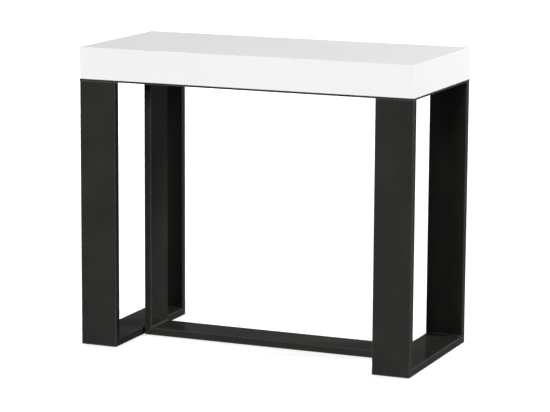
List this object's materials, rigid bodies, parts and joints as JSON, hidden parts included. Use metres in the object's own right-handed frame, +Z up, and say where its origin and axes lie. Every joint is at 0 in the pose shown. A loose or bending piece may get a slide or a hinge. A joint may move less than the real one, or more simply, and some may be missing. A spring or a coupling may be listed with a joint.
{
  "type": "extending console table",
  "caption": "White console table on a flat dark steel frame; its two half tops slide apart along the depth on telescopic guides, over a fixed centre support.",
  "frame": {"origin": "on the floor, under the middle of the closed table", "axes": "+X along the table's width, to the right as seen from the front; +Y from the front edge to the rear edge, the way the table opens; +Z up"},
  "size_m": [0.9, 0.42, 0.773],
  "materials": {
    "white_laminate": "satin white melamine laminate on 18 mm board",
    "anthracite_steel": "satin anthracite powder coat on flat steel tube and strip",
    "guide_aluminium": "mill-finish extruded aluminium",
    "zinc_steel": "zinc-plated sheet steel",
    "floor_pad_rubber": "matt black rubber",
    "black_plastic": "matt black moulded plastic",
    "bare_wood": "bare beech"
  },
  "bodies": {
    "centre_support": {"support_stretcher": "anthracite_steel", "support_left_post": "anthracite_steel", "support_right_post": "anthracite_steel", "support_top_tube": "anthracite_steel", "support_floor_pads": "floor_pad_rubber", "guide_saddles": "zinc_steel", "left_guide_rail_4": "guide_aluminium", "right_guide_rail_4": "guide_aluminium"},
    "front_stage_1": {"left_guide_rail_5": "guide_aluminium", "right_guide_rail_5": "guide_aluminium", "front_stage_1_crossbar": "zinc_steel", "front_stage_1_spacers": "zinc_steel"},
    "front_stage_2": {"left_guide_rail_6": "guide_aluminium", "right_guide_rail_6": "guide_aluminium", "front_stage_2_crossbar": "zinc_steel", "front_stage_2_spacers": "zinc_steel"},
    "front_half": {"front_top_panel": "white_laminate", "front_apron": "white_laminate", "front_left_apron": "white_laminate", "front_right_apron": "white_laminate", "front_strip": "anthracite_steel", "front_left_strip": "anthracite_steel", "front_right_strip": "anthracite_steel", "front_strip_screws": "zinc_steel", "front_left_leg": "anthracite_steel", "front_right_leg": "anthracite_steel", "front_left_foot": "anthracite_steel", "front_right_foot": "anthracite_steel", "front_foot_plugs": "black_plastic", "front_floor_pads": "floor_pad_rubber", "front_guide_brackets": "zinc_steel", "seam_pins": "bare_wood", "left_guide_rail_7": "guide_aluminium", "right_guide_rail_7": "guide_aluminium"},
    "rear_stage_1": {"left_guide_rail_3": "guide_aluminium", "right_guide_rail_3": "guide_aluminium", "rear_stage_1_crossbar": "zinc_steel", "rear_stage_1_spacers": "zinc_steel"},
    "rear_stage_2": {"left_guide_rail_2": "guide_aluminium", "right_guide_rail_2": "guide_aluminium", "rear_stage_2_crossbar": "zinc_steel", "rear_stage_2_spacers": "zinc_steel"},
    "rear_half": {"rear_top_panel": "white_laminate", "rear_apron": "white_laminate", "rear_left_apron": "white_laminate", "rear_right_apron": "white_laminate", "rear_strip": "anthracite_steel", "rear_left_strip": "anthracite_steel", "rear_right_strip": "anthracite_steel", "rear_strip_screws": "zinc_steel", "rear_left_leg": "anthracite_steel", "rear_right_leg": "anthracite_steel", "rear_left_foot": "anthracite_steel", "rear_right_foot": "anthracite_steel", "rear_foot_plugs": "black_plastic", "rear_floor_pads": "floor_pad_rubber", "rear_guide_brackets": "zinc_steel", "left_guide_rail_1": "guide_aluminium", "right_guide_rail_1": "guide_aluminium"}
  },
  "joints": [
    {"name": "front_slide_1", "type": "slide", "parent": "centre_support", "child": "front_stage_1", "axis": [0, -1, 0], "range_m": [0, 0.26]},
    {"name": "front_slide_2", "type": "slide", "parent": "front_stage_1", "child": "front_stage_2", "axis": [0, -1, 0], "range_m": [0, 0.26]},
    {"name": "front_slide_3", "type": "slide", "parent": "front_stage_2", "child": "front_half", "axis": [0, -1, 0], "range_m": [0, 0.26]},
    {"name": "rear_slide_1", "type": "slide", "parent": "centre_support", "child": "rear_stage_1", "axis": [0, 1, 0], "range_m": [0, 0.26]},
    {"name": "rear_slide_2", "type": "slide", "parent": "rear_stage_1", "child": "rear_stage_2", "axis": [0, 1, 0], "range_m": [0, 0.26]},
    {"name": "rear_slide_3", "type": "slide", "parent": "rear_stage_2", "child": "rear_half", "axis": [0, 1, 0], "range_m": [0, 0.26]}
  ]
}
